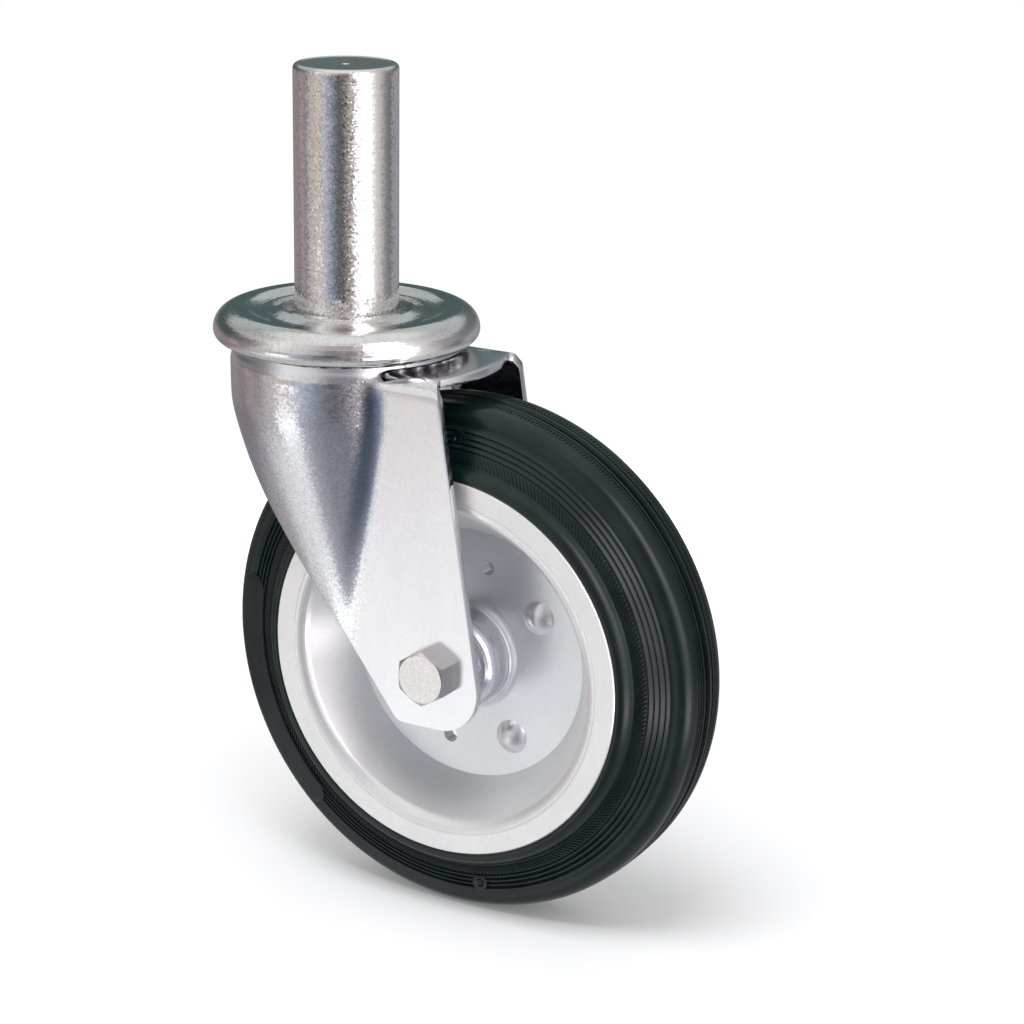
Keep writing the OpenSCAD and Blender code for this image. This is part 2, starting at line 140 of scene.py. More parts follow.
def fork_section(z, count):
    """Points along the half outline at one height, from the front to the rear edge of the leg."""
    centre, radius = drum_at(z)
    reach = math.sqrt(max((radius + HOLLOW) ** 2 - (FORK_HALF + HOLLOW) ** 2, 0))
    turn = math.degrees(math.acos(-reach / (radius + HOLLOW)))
    path = [(centre - x, -y) for x, y in arc((0, 0), radius, 0, turn, 90)]
    path += arc((centre + reach, -FORK_HALF - HOLLOW), HOLLOW, turn, 90, 14)[1:]
    path += [(rear_at(z), -FORK_HALF)]
    path = np.array(path)
    along = np.concatenate([[0], np.cumsum(np.hypot(*np.diff(path, axis=0).T))])
    start = 0.0
    if z < -36.5:
        start = float(np.interp(front_at(z), path[:, 0], along))
    at = start + (along[-1] - start) * np.linspace(0, 1, count)
    return np.stack([np.interp(at, along, path[:, 0]), np.interp(at, along, path[:, 1])], axis=1)


def side_heights():
    """Heights of the rows of the fork's side, closer together at the bend and at the foot."""
    upper = list(np.linspace(BEND_Z, -52.0, 16)) + list(np.linspace(-54.5, -130.0, 28))
    heel_z = FOOT_Z + HEEL
    foot = [heel_z - HEEL * math.sin(math.radians(a)) for a in np.linspace(-6, 90, 17)]
    return upper + foot


DRUM_FAN = [(44.8, BEND_Z), (44.8, -20.5), (44.4, -18.0), (43.7, -15.6)]
DRUM_FAN += arc((39.4, -15.3), 4.1, 6, 90, 12) + [(HUB_OF_FAN[0], CROWN_Z)]


def fan(points):
    """Angles and distances of a profile as seen from the middle of the fan, sorted by angle."""
    rel = [(max(r - HUB_OF_FAN[0], 0.0), z - HUB_OF_FAN[1]) for r, z in points]
    return np.array([math.atan2(z, r) for r, z in rel]), np.array([math.hypot(r, z) for r, z in rel])


def shelf_reach(turn, climb):
    """Distance from the middle of the fan to the shelf or to its bend, at one turn about the swivel axis."""
    share = math.sin(turn)
    rise, out = math.sin(climb), math.cos(climb)
    if share > 1e-6:
        start = (FORK_HALF - BEND) / share - HUB_OF_FAN[0]
        a = (out * share) ** 2 + rise ** 2
        b = -2 * out * start * share ** 2
        c = (start * share) ** 2 - BEND ** 2
        inside = b * b - 4 * a * c
        reach = (math.sqrt(max(inside, 0)) - b) / (2 * a)
        if inside < 0 and start < 0:
            return 0.0
        if inside >= 0 and reach * out >= start:
            return max(reach, 0.0)
    return BEND / rise


def top_reach(turn, climb):
    """Distance from the middle of the fan to the outside, with a soft fillet at the foot of the crown."""
    angles, reaches = fan(DRUM_FAN)
    drum = float(np.interp(climb, angles, reaches))
    if turn > math.radians(62):
        return drum
    shelf = shelf_reach(turn, climb)
    near = max(FILLET - abs(drum - shelf), 0) / FILLET
    return max(drum, shelf) + near * near * FILLET / 4


def rear_edge(turn):
    """Point (radius, height) where the shelf or its bend ends at one turn from +X."""
    corner = math.atan2(FORK_HALF - BEND, CORNER_X)
    if turn > corner:
        low, high = 0.0, 90.0
        for _ in range(40):
            mid = (low + high) / 2
            y = FORK_HALF - BEND + BEND * math.sin(math.radians(mid))
            x = CORNER_X + (rear_at(BEND_Z) - CORNER_X) * mid / 90
            low, high = (mid, high) if math.atan2(y, x) < turn else (low, mid)
        return math.hypot(x, y), BEND_Z + BEND * math.cos(math.radians(mid))
    middle = CORNER_X - math.sqrt(BOW ** 2 - (FORK_HALF - BEND) ** 2)
    along = middle * math.cos(turn)
    return along + math.sqrt(along ** 2 - middle ** 2 + BOW ** 2), SHELF_Z


def fork_shell():
    """The outside of the fork as one open sheet with both halves."""
    columns, tongue, rows, crown_rows = 100, 30, 40, 5
    bm = bmesh.new()
    heights = side_heights()
    side = bmesh.ops.create_grid(bm, x_segments=columns - 1, y_segments=len(heights) - 1, size=0.5)["verts"]
    sections = [fork_section(z, columns) for z in heights]
    for v in side:
        i = round((v.co.x + 0.5) * (columns - 1))
        j = round((v.co.y + 0.5) * (len(heights) - 1))
        v.co = (*sections[j][i], heights[j])
    head = sections[0]
    turns = [math.atan2(-y, x) for x, y in head]
    turns += [turns[-1] * (1 - (i + 1) / tongue) for i in range(tongue)]
    total = len(turns)
    height = rows + crown_rows
    top = bmesh.ops.create_grid(bm, x_segments=total - 1, y_segments=height, size=0.5)["verts"]
    hub_r, hub_z = HUB_OF_FAN
    for v in top:
        i = round((v.co.x + 0.5) * (total - 1))
        j = round((v.co.y + 0.5) * height)
        turn = turns[i]
        if j >= rows:
            r = hub_r + (CROWN_HOLE - hub_r) * (j - rows) / crown_rows
            z = CROWN_Z
        else:
            first = 0.0
            fill = 0.0
            if i >= columns:
                edge_r, edge_z = rear_edge(turn)
                first = math.atan2(edge_z - hub_z, edge_r - hub_r)
            else:
                fill = math.hypot(*head[i]) - hub_r - top_reach(turn, 0.0)
            climb = first + (math.pi / 2 - first) * j / rows
            reach = top_reach(turn, climb)
            fade = smooth_step(1 - (reach * math.sin(climb)) / (BEND * 1.05))
            r = hub_r + reach * math.cos(climb) + fill * fade
            z = hub_z + reach * math.sin(climb)
        v.co = (r * math.cos(turn), -r * math.sin(turn), z)
    bmesh.ops.remove_doubles(bm, verts=bm.verts, dist=0.01)
    pucker = [v for v in bm.verts if -21 < v.co.z < -12 and 26 < v.co.x < 46 and v.co.y < -20
              and not v.is_boundary]
    for _ in range(3):
        bmesh.ops.smooth_vert(bm, verts=pucker, factor=0.5, use_axis_x=True, use_axis_y=True, use_axis_z=True)
    bmesh.ops.mirror(bm, geom=bm.verts[:] + bm.edges[:] + bm.faces[:], axis="Y", merge_dist=0.01)
    bmesh.ops.recalc_face_normals(bm, faces=bm.faces)
    return bm


def outward(bm, face_test):
    """Turns a sheet so that the face that passes the test looks the way it is told."""
    face, direction = face_test(bm)
    if face.normal.dot(direction) < 0:
        bmesh.ops.reverse_faces(bm, faces=bm.faces)


def drill_legs(bm, radius):
    """Opens the round hole for the axle bolt in both legs."""
    def off_axle(v):
        return math.hypot(v.co.x - AXLE[0], v.co.z - AXLE[2])
    inside = [f for f in bm.faces if all(off_axle(v) < radius + 1.0 for v in f.verts) and abs(f.normal.y) > 0.9]
    bmesh.ops.delete(bm, geom=inside, context="FACES")
    for v in bm.verts:
        if v.is_boundary and off_axle(v) < radius + 4.0:
            scale = radius / max(off_axle(v), 0.01)
            v.co.x = AXLE[0] + (v.co.x - AXLE[0]) * scale
            v.co.z = AXLE[2] + (v.co.z - AXLE[2]) * scale


def build_fork(sizes):
    """The pressed fork: one sheet folded into a drum, a shelf and two legs."""
    bm = fork_shell()
    drill_legs(bm, sizes.bolt_hole / MM / 2)
    outward(bm, lambda b: (min(b.faces, key=lambda f: f.calc_center_median().x), Vector((-1, 0, 0))))
    piece = finish_piece("fork_sheet", bm, zinc_fork(sizes), 50)
    wall = piece.modifiers.new("wall", "SOLIDIFY")
    wall.thickness = sizes.sheet
    wall.offset = -1
    wall.use_even_offset = True
    edge = piece.modifiers.new("edge", "BEVEL")
    edge.width = sizes.edge
    edge.segments = 2
    edge.limit_method = "ANGLE"
    edge.angle_limit = math.radians(60)
    return piece


# The tyre, in millimetres: r is the distance from the axle, y the distance from the wheel's middle

TYRE = 101.5
SHOULDER = (95.4, 8.8, 5.7)
PAD = (86.2, 97.2)


def side_y(r):
    """Depth of the tyre's side at one radius."""
    return 20.0 - 0.38 * (r - 80.0)


def tread_r(y):
    """Radius of the domed tread."""
    return TYRE - 0.35 * (y / SHOULDER[1]) ** 2


def half_tyre():
    """Half of the tyre's outline, from the rim seat to the middle of the tread."""
    points = [(66.5, 0.5), (66.5, 21.2), (75.0, 21.2), (75.0, 23.4), (75.25, 23.9), (75.8, 24.1)]
    points += [(76.7, 24.05), (77.6, 23.7), (78.5, 23.1), (79.3, 22.3), (79.9, 21.4), (80.3, 20.4), (80.7, 19.7)]
    points += [(r, side_y(r)) for r in (82.5, 84.5, 85.4)]
    for r in (86.2, 88.2, 90.2, 92.3):
        y = side_y(r)
        points += [(r - 0.55, y), (r - 0.38, y + 0.35), (r - 0.12, y + 0.58), (r + 0.12, y + 0.58)]
        points += [(r + 0.38, y + 0.35), (r + 0.55, y)]
    points += [(93.4, side_y(93.4) - 0.2), (94.4, 14.5)]
    points += arc(SHOULDER[:2], SHOULDER[2], 86, 6, 10)
    points += [(tread_r(y), y) for y in (8.4, 7.9)]
    points += [(tread_r(7.6) - 0.5, 7.6), (tread_r(5.0) - 0.5, 5.0)]
    points += [(tread_r(4.75), 4.8), (tread_r(4.6), 4.5), (tread_r(4.4), 4.3)]
    points += [(tread_r(4.1) - 0.9, 4.05), (tread_r(3.5) - 0.9, 3.4)]
    points += [(tread_r(3.2), 3.1), (tread_r(3.0), 2.8), (tread_r(2.4), 2.2)]
    points += [(tread_r(1.8) - 0.3, 1.9), (97.6, 1.5), (97.2, 0.9), (97.2, 0.4)]
    return points


def about_axle(bm, geom, steps, duplicate, angle=2 * math.pi):
    """Spins geometry about the wheel's axle."""
    bmesh.ops.spin(bm, geom=geom, cent=AXLE, axis=(0, 1, 0), dvec=(0, 0, 0), angle=angle, steps=steps,
                   use_merge=not duplicate, use_duplicate=duplicate)


def rib(bm, corners, rise, out):
    """A thin raised bar over four corners, narrowed towards its top."""
    lower = [bm.verts.new(c) for c in corners]
    face = bm.faces.new(lower)
    top = bmesh.ops.extrude_face_region(bm, geom=[face])
    raised = [g for g in top["geom"] if isinstance(g, bmesh.types.BMVert)]
    middle = sum((v.co for v in raised), Vector()) / 4
    for v in raised:
        v.co = v.co.lerp(middle, 0.25) + Vector(out) * rise
    return lower + raised


def wheel_point(r, degrees, y):
    """A point in the wheel's own polar frame."""
    a = math.radians(degrees)
    return Vector((AXLE[0] + r * math.cos(a), AXLE[1] + y, AXLE[2] + r * math.sin(a)))


def repeat_round(bm, verts, count):
    """Copies one small closed shape evenly about the axle."""
    geom = list({f for v in verts for f in v.link_faces} | {e for v in verts for e in v.link_edges} | set(verts))
    about_axle(bm, geom, count - 1, True, 2 * math.pi * (count - 1) / count)


def tyre_ring(bm):
    """The tyre's plain turned shape."""
    half = half_tyre()
    outline = half + [(r, -y) for r, y in reversed(half)]
    verts = [bm.verts.new((AXLE[0] + r, AXLE[1] + y, AXLE[2])) for r, y in outline]
    edges = [bm.edges.new((a, b)) for a, b in zip(verts, verts[1:] + verts[:1])]
    about_axle(bm, verts + edges, 208, False)


def knurled_band(bm, side):
    """Slanting fine ribs between the bead and the ridges."""
    count = 300
    for_one = []
    for r, turn in ((81.1, -0.25), (85.2, -3.0), (85.2, -2.45), (81.1, 0.3)):
        for_one.append(wheel_point(r, turn * side, side * (side_y(r) - 0.12)))
    if side > 0:
        for_one.reverse()
    repeat_round(bm, rib(bm, for_one, 0.5, (0, side, 0)), count)


def serrated_band(bm, side):
    """Cross ribs on one band of the tread."""
    count = 400
    corners = []
    for y, turn in ((5.2, 0.0), (7.5, 0.0), (7.5, 0.45), (5.2, 0.45)):
        corners.append(wheel_point(tread_r(y) - 0.62, turn, side * y))
    if side > 0:
        corners.reverse()
    repeat_round(bm, rib(bm, corners, 0.5, (1, 0, 0)), count)


def pad_floor(r):
    """Depth of the smooth side between the ridges and the shoulder."""
    return 14.2 - 0.1 * (r - 96.8)


def blank_pad(bm, side, start, end):
    """A raised plain pad with round ends on the tyre's side, where a maker could put words."""
    steps = 40
    middle, half = (PAD[0] + PAD[1]) / 2, (PAD[1] - PAD[0]) / 2
    end_turn = math.degrees(half / middle)
    turns = [start - end_turn * math.cos(math.radians(a)) for a in range(0, 90, 10)]
    turns += [start + (end - start) * i / steps for i in range(steps + 1)]
    turns += [end + end_turn * math.sin(math.radians(a)) for a in range(10, 91, 10)]
    rings = []
    for turn in turns:
        over = max(start - turn, turn - end, 0) / end_turn
        span = half * math.sqrt(max(1 - over * over, 0.0004))
        row = []
        for share, lift in ((-1, -0.4), (-1, 0.75), (-0.93, 0.95), (0, 0.95), (0.93, 0.95), (1, 0.75), (1, -0.4)):
            r = middle + span * share
            row.append(bm.verts.new(wheel_point(r, turn, side * (max(side_y(r), pad_floor(r)) + lift))))
        rings.append(row)
    for one, two in zip(rings, rings[1:]):
        for i in range(len(one) - 1):
            bm.faces.new((one[i], one[i + 1], two[i + 1], two[i]))
    for row in (rings[0], rings[-1]):
        bm.faces.new(row)


def round_boss(bm, side, turn):
    """A small round boss with a dimple that interrupts the ridges."""
    centre = wheel_point(89.2, turn, side * (side_y(89.2) - 0.5))
    made = bmesh.ops.create_cone(bm, cap_ends=True, segments=28, radius1=3.3, radius2=3.1, depth=2.6,
                                 matrix=Matrix.Translation(centre) @ Matrix.Rotation(-side * math.pi / 2, 4, "X"))
    tops = [f for f in {f for v in made["verts"] for f in v.link_faces}
            if len(f.verts) > 4 and f.calc_center_median().y * side > centre.y * side]
    bmesh.ops.inset_region(bm, faces=tops, thickness=1.3, depth=0)
    bmesh.ops.inset_region(bm, faces=tops, thickness=0.4, depth=-0.5)
    bmesh.ops.inset_region(bm, faces=tops, thickness=0.5, depth=0.35)


def build_tyre(sizes):
    """The rubber tyre with its ridges, knurled band, grooved tread, bosses and blank pads."""
    bm = bmesh.new()
    tyre_ring(bm)
    for side in (-1, 1):
        knurled_band(bm, side)
        serrated_band(bm, side)
        blank_pad(bm, side, 171.5, 226.5)
        for turn in (-80.7, 88.0):
            round_boss(bm, side, turn)
    bmesh.ops.remove_doubles(bm, verts=bm.verts, dist=0.0005)
    bmesh.ops.recalc_face_normals(bm, faces=bm.faces)
    return finish_piece("tyre_rubber", bm, rubber(sizes), 40)


# Finishes

class Recipe:
    """A material under construction, with short ways to add and join its nodes."""

    def __init__(self, name):
        self.material = bpy.data.materials.new(name)
        self.material.use_nodes = True
        self.tree = self.material.node_tree
        self.tree.nodes.clear()
        self.out = self.add("ShaderNodeOutputMaterial")
        self.shader = self.add("ShaderNodeBsdfPrincipled")
        self.join(self.shader, "BSDF", self.out, "Surface")
        self.place = self.add("ShaderNodeTexCoord")

    def add(self, kind, inputs=None, **settings):
        node = self.tree.nodes.new(kind)
        for key, value in settings.items():
            setattr(node, key, value)
        for key, value in (inputs or {}).items():
            node.inputs[key].default_value = value
        return node

    def join(self, a, a_socket, b, b_socket):
        self.tree.links.new(a.outputs[a_socket], b.inputs[b_socket])
        return b

    def spread(self, scale=(1, 1, 1), shift=(0, 0, 0)):
        """Object coordinates, stretched; scale is in repeats per metre."""
        node = self.add("ShaderNodeMapping", {"Scale": scale, "Location": shift})
        self.join(self.place, "Object", node, "Vector")
        return node

    def noise(self, source, scale, detail=3, rough=0.6):
        node = self.add("ShaderNodeTexNoise", {"Scale": scale, "Detail": detail, "Roughness": rough})
        self.join(source, "Vector", node, "Vector")
        return node

    def ramp(self, source, socket, stops, interpolation="EASE"):
        node = self.add("ShaderNodeValToRGB")
        node.color_ramp.interpolation = interpolation
        while len(node.color_ramp.elements) < len(stops):
            node.color_ramp.elements.new(0.5)
        for element, (at, colour) in zip(node.color_ramp.elements, stops):
            element.position = at
            element.color = (*colour, 1)
        self.join(source, socket, node, "Fac")
        return node

    def mix(self, factor, a, b, blend="MIX", amount=0.5):
        node = self.add("ShaderNodeMix", data_type="RGBA", blend_type=blend)
        node.inputs[0].default_value = amount
        if factor is not None:
            self.tree.links.new(factor, node.inputs[0])
        for socket, value in ((6, a), (7, b)):
            if isinstance(value, (tuple, list)):
                node.inputs[socket].default_value = (*value, 1)
            else:
                self.tree.links.new(value, node.inputs[socket])
        return node

    def number(self, source, low, high, into):
        """Maps a texture's 0 to 1 onto a range and feeds a shader socket."""
        node = self.add("ShaderNodeMapRange", {"To Min": low, "To Max": high})
        self.tree.links.new(source, node.inputs["Value"])
        self.tree.links.new(node.outputs["Result"], self.shader.inputs[into])
        return node


def ease(r, value, start, end, high=1.0):
    """A smooth step of a value between two places in millimetres."""
    node = r.add("ShaderNodeMapRange", {"From Min": start * MM, "From Max": end * MM, "To Max": high},
                 interpolation_type="SMOOTHSTEP")
    r.tree.links.new(value, node.inputs["Value"])
    return node.outputs["Result"]


def math_node(r, operation, *values):
    """Joins values or numbers in one arithmetic node."""
    node = r.add("ShaderNodeMath", operation=operation)
    for socket, value in zip(node.inputs, values):
        if isinstance(value, (int, float)):
            socket.default_value = value
        else:
            r.tree.links.new(value, socket)
    return node.outputs[0]


def places(r):
    """The object coordinates, one by one."""
    parts = r.add("ShaderNodeSeparateXYZ")
    r.join(r.place, "Object", parts, 0)
    return parts.outputs


def behind_front(r, at):
    """How far back a point of the fork lies, counted from the line on which the hollow runs down."""
    under = math_node(r, "MINIMUM", math_node(r, "ADD", at["Z"], 36 * MM), 0.0)
    return math_node(r, "MULTIPLY_ADD", under, -0.16, at["X"])


def leg_mask(r):
    """1 on the fork's flat legs, less on its top, and 0 on its round front."""
    at = places(r)
    side = ease(r, math_node(r, "ABSOLUTE", at["Y"]), 29.5, 31.2)
    leg = math_node(r, "MULTIPLY", ease(r, behind_front(r, at), 33, 41), side)
    return math_node(r, "MAXIMUM", leg, ease(r, at["Z"], -18.5, -16.5))


def hollow_shade_mask(r):
    """1 in the hollow between the fork's round front and its legs, where painted shade darkens the fork."""
    at = places(r)
    back = behind_front(r, at)
    band = math_node(r, "MULTIPLY", ease(r, back, 26, 31), ease(r, back, 39, 34))
    height = math_node(r, "MULTIPLY", ease(r, at["Z"], -19, -26), ease(r, at["Z"], -104, -58))
    return math_node(r, "MULTIPLY", band, height)


def plate_shade_mask(r):
    """1 on the flat middle of the wheel and 0 on the rim's lip; painted shade makes the middle slightly darker and
    cooler.
    """
    return ease(r, math_node(r, "ABSOLUTE", places(r)["Y"]), 19, 5)


def stem_top(r):
    """1 on the stem's end face."""
    return ease(r, places(r)["Z"], 91.8, 92.6)


def zinc(name, tone, grain_mm, tilt, rough_low, rough_high, streak=(1, 1, 1), stain=0.25, tint=(0.93, 0.88, 0.80),
         satin=None, shade=None, metallic=1.0):
    """Zinc plate: tilted crystals, soft stains and fine grain, duller where the satin mask is 1, with painted shade
    where a shade mask and tint are given.
    """
    r = Recipe(name)
    r.shader.inputs["Metallic"].default_value = metallic
    place = r.spread()
    crystals = r.add("ShaderNodeTexVoronoi", {"Scale": 1 / (grain_mm * MM), "Randomness": 1.0})
    r.join(place, "Vector", crystals, "Vector")
    large = r.noise(r.spread(streak), 42, 4, 0.62)
    small = r.noise(place, 900, 2, 0.7)
    cloud = r.ramp(large, "Fac", [(0.35, (0, 0, 0)), (0.68, (1, 1, 1))])
    warm = r.mix(cloud.outputs["Color"], tone, tuple(a * b for a, b in zip(tone, tint)))
    warm_amount = r.mix(None, tone, warm.outputs[2], amount=min(stain * 2, 1))
    grey = r.add("ShaderNodeRGBToBW")
    r.join(crystals, "Color", grey, "Color")
    speckle = r.ramp(grey, "Val", [(0.1, (0.62, 0.62, 0.66)), (0.45, (0.94, 0.93, 0.94)), (0.9, (1, 1, 1))])
    colour = r.mix(None, warm_amount.outputs[2], speckle.outputs["Color"], "MULTIPLY", min(1.0, tilt * 7))
    if satin:
        mask = satin(r)
        colour = r.mix(mask, colour.outputs[2], warm_amount.outputs[2])
    # Painted shade: the colour is multiplied by a darker tint where the shade mask is 1.
    if shade:
        zone, cast = shade
        darker = r.mix(None, colour.outputs[2], cast, "MULTIPLY", 1.0)
        colour = r.mix(zone(r), colour.outputs[2], darker.outputs[2])
    r.tree.links.new(colour.outputs[2], r.shader.inputs["Base Color"])
    rough = r.number(small.outputs["Fac"], rough_low, rough_high, "Roughness")
    centre = r.add("ShaderNodeVectorMath", operation="SUBTRACT")
    r.join(crystals, "Color", centre, 0)
    centre.inputs[1].default_value = (0.5, 0.5, 0.5)
    lean = r.add("ShaderNodeVectorMath", operation="SCALE")
    r.join(centre, "Vector", lean, 0)
    lean.inputs["Scale"].default_value = tilt
    if satin:
        for node, start, end in ((rough.inputs["To Min"], rough_low, 0.18), (rough.inputs["To Max"], rough_high, 0.24),
                                 (lean.inputs["Scale"], tilt, tilt * 0.2)):
            level = r.add("ShaderNodeMapRange", {"To Min": start, "To Max": end})
            r.tree.links.new(mask, level.inputs["Value"])
            r.tree.links.new(level.outputs["Result"], node)
    bump = r.add("ShaderNodeBump", {"Strength": 0.12, "Distance": 0.0002})
    r.join(large, "Fac", bump, "Height")
    total = r.add("ShaderNodeVectorMath", operation="ADD")
    r.join(bump, "Normal", total, 0)
    r.join(lean, "Vector", total, 1)
    unit = r.add("ShaderNodeVectorMath", operation="NORMALIZE")
    r.join(total, "Vector", unit, 0)
    r.join(unit, "Vector", r.shader, "Normal")
    return r.material


def zinc_fork(sizes):
    # Painted shade: the hollow gets a darker, bluer tone that stands in for the dark reflections and shade there.
    return zinc("zinc_fork", (0.93, 0.93, 0.95), 0.6, 0.08, 0.07, 0.14, (1, 1, 0.2), 0.25, (0.92, 0.92, 0.94), satin=leg_mask,
                shade=(hollow_shade_mask, (0.40, 0.44, 0.52)))


def rubber(sizes):
    """Moulded rubber: nearly black with a green cast, a soft bloom and fine pits."""
    r = Recipe("tyre_rubber")
    place = r.spread()
    bloom = r.noise(place, 60, 4, 0.6)
    tone = r.ramp(bloom, "Fac", [(0.3, (0.002, 0.009, 0.009)), (0.7, (0.007, 0.016, 0.016))])
    r.join(tone, "Color", r.shader, "Base Color")
    fine = r.noise(place, 1500, 3, 0.7)
    r.number(fine.outputs["Fac"], 0.18, 0.30, "Roughness")
    r.shader.inputs["Specular IOR Level"].default_value = 0.42
    bump = r.add("ShaderNodeBump", {"Strength": 0.2, "Distance": 0.00006})
    r.join(fine, "Fac", bump, "Height")
    r.join(bump, "Normal", r.shader, "Normal")
    return r.material


def bearing_steel():
    r = Recipe("bearing_steel")
    r.shader.inputs["Metallic"].default_value = 1.0
    small = r.noise(r.spread(), 700, 3)
    tone = r.ramp(small, "Fac", [(0.3, (0.55, 0.56, 0.57)), (0.7, (0.66, 0.67, 0.68))])
    r.join(tone, "Color", r.shader, "Base Color")
    r.number(small.outputs["Fac"], 0.12, 0.22, "Roughness")
    return r.material


# Sizes and colours that a user may change

class CastorForkSizes(bpy.types.PropertyGroup):
    sheet: bpy.props.FloatProperty(name="Sheet", description="Thickness of the fork's sheet", default=0.003,
                                   min=0.002, max=0.004, unit="LENGTH")
    edge: bpy.props.FloatProperty(name="Edge", description="Rounding of the sheet's cut edges", default=0.00035,
                                  min=0.0, max=0.001, unit="LENGTH")
    bolt_hole: bpy.props.FloatProperty(name="Bolt hole", description="Diameter of the hole for the axle bolt",
                                       default=0.0124, min=0.01, max=0.016, unit="LENGTH")


class CastorStageLook(bpy.types.PropertyGroup):
    floor: bpy.props.FloatVectorProperty(name="Floor", description="Colour of the floor", subtype="COLOR",
                                         default=(0.84, 0.84, 0.85), min=0, max=1)
    table: bpy.props.FloatProperty(name="Table", description="Radius of the white table", default=0.62,
                                   min=0.4, max=5, unit="LENGTH")
    lift: bpy.props.FloatProperty(name="Lift", description="Light that makes the floor's background pure white",
                                  default=0.12, min=0, max=1)
    fill: bpy.props.FloatProperty(name="Fill", description="Level of the studio's soft light", default=0.72,
                                  min=0, max=2)
    key: bpy.props.FloatProperty(name="Key light", description="Power of the soft key light", default=14.0,
                                 min=0, unit="POWER")


# Operators

class CASTOR_OT_fork(bpy.types.Operator):
    """Build the pressed fork"""
    bl_idname = "castor.fork"
    bl_label = "Fork"

    def execute(self, context):
        piece = build_fork(context.scene.castor_fork)
        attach(piece, "swivel_fork")
        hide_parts("fork")
        return {"FINISHED"}


class CASTOR_OT_tyre(bpy.types.Operator):
    """Build the rubber tyre"""
    bl_idname = "castor.tyre"
    bl_label = "Tyre"

    def execute(self, context):
        piece = build_tyre(context.scene.castor_fork)
        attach(piece, "wheel")
        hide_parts("tyre")
        return {"FINISHED"}


class CASTOR_OT_metal(bpy.types.Operator):
    """Give the plated steel pieces their finishes"""
    bl_idname = "castor.metal"
    bl_label = "Plated pieces"

    def execute(self, context):
        finishes = {
            "stem": zinc("zinc_stem", (0.95, 0.94, 0.93), 0.7, 0.13, 0.08, 0.16, (3, 3, 0.15), 0.3, satin=stem_top),
            "top_cap": zinc("zinc_cap", (0.90, 0.89, 0.89), 1.0, 0.05, 0.08, 0.16, (1, 1, 1), 0.3),
            # Painted shade: the rim's flat middle gets a slightly darker, cooler tone that stands in for its dimmer
            # reflections.
            "near_rim": zinc("zinc_rim", (0.93, 0.925, 0.92), 0.7, 0.02, 0.28, 0.38, (0.6, 1, 0.6), 0.3,
                             (0.92, 0.93, 0.94), shade=(plate_shade_mask, (0.95, 0.98, 1.0)), metallic=0.7),
            "axle_bolt": zinc("zinc_bolt", (0.86, 0.86, 0.86), 0.6, 0.04, 0.18, 0.28, (1, 1, 1), 0.2),
            "rivets": zinc("zinc_rivet", (0.88, 0.89, 0.92), 0.6, 0.02, 0.26, 0.34, (1, 1, 1), 0.2, metallic=0.85),
            "near_hub_cap": zinc("zinc_hub", (0.76, 0.79, 0.85), 0.6, 0.03, 0.16, 0.26, (1, 1, 1), 0.3),
            "lower_race": zinc("zinc_inner", (0.62, 0.61, 0.60), 0.8, 0.04, 0.25, 0.40, (1, 1, 1), 0.3),
            "upper_balls": bearing_steel(),
        }
        same = {"far_rim": "near_rim", "far_hub_cap": "near_hub_cap", "axle_washer": "axle_bolt",
                "axle_nut": "axle_bolt", "king_washer": "lower_race", "king_nut": "lower_race",
                "near_thrust_washer": "lower_race", "far_thrust_washer": "lower_race", "hub_tube": "lower_race",
                "roller_cage": "lower_race", "lower_balls": "upper_balls", "axle_sleeve": "upper_balls",
                "rollers": "upper_balls"}
        for node in list(finishes) + list(same):
            material = finishes[same.get(node, node)]
            for part in slots_of(node):
                part.material = material
        return {"FINISHED"}


def slots_of(node):
    """All material slots of a CAD node."""
    found = frame["nodes"][node]
    found = found if isinstance(found, (list, tuple)) else [found]
    return [s for o in found for s in o.material_slots]


class CASTOR_OT_stage(bpy.types.Operator):
    """Lay the floor, light the scene and set up the camera"""
    bl_idname = "castor.stage"
    bl_label = "Stage"

    def execute(self, context):
        look = context.scene.castor_stage
        lay_floor(look)
        light_scene(look)
        place_camera()
        context.scene.view_settings.view_transform = "Standard"
        return {"FINISHED"}


def ray_kind(tree, name):
    """Socket that is 1 for one kind of ray, such as those from the camera."""
    return tree.nodes.new("ShaderNodeLightPath").outputs[name]


def lay_floor(look):
    """A round white table that turns pure white away from the castor's shadow."""
    bm = bmesh.new()
    bmesh.ops.create_circle(bm, cap_ends=True, segments=96, radius=look.table / MM,
                            matrix=Matrix.Translation((AXLE[0], 0, AXLE[2] - TYRE)))
    r = Recipe("floor")
    r.shader.inputs["Base Color"].default_value = (*look.floor, 1)
    r.shader.inputs["Roughness"].default_value = 0.9
    r.shader.inputs["Specular IOR Level"].default_value = 0.1
    glow = r.add("ShaderNodeEmission", {"Color": (1, 1, 1, 1)})
    away = r.add("ShaderNodeVectorMath", operation="LENGTH")
    r.join(r.place, "Object", away, 0)
    lift = r.add("ShaderNodeMapRange", {"From Min": 0.36, "From Max": 0.52, "To Min": look.lift, "To Max": 0.6},
                 interpolation_type="SMOOTHSTEP")
    r.join(away, "Value", lift, "Value")
    r.join(lift, "Result", glow, "Strength")
    both = r.add("ShaderNodeAddShader")
    r.join(r.shader, "BSDF", both, 0)
    r.join(glow, "Emission", both, 1)
    pick = r.add("ShaderNodeMixShader")
    r.tree.links.new(ray_kind(r.tree, "Is Camera Ray"), pick.inputs[0])
    r.join(r.shader, "BSDF", pick, 1)
    r.join(both, "Shader", pick, 2)
    r.join(pick, "Shader", r.out, "Surface")
    floor = finish_piece("floor", bm, r.material)
    floor.visible_glossy = False


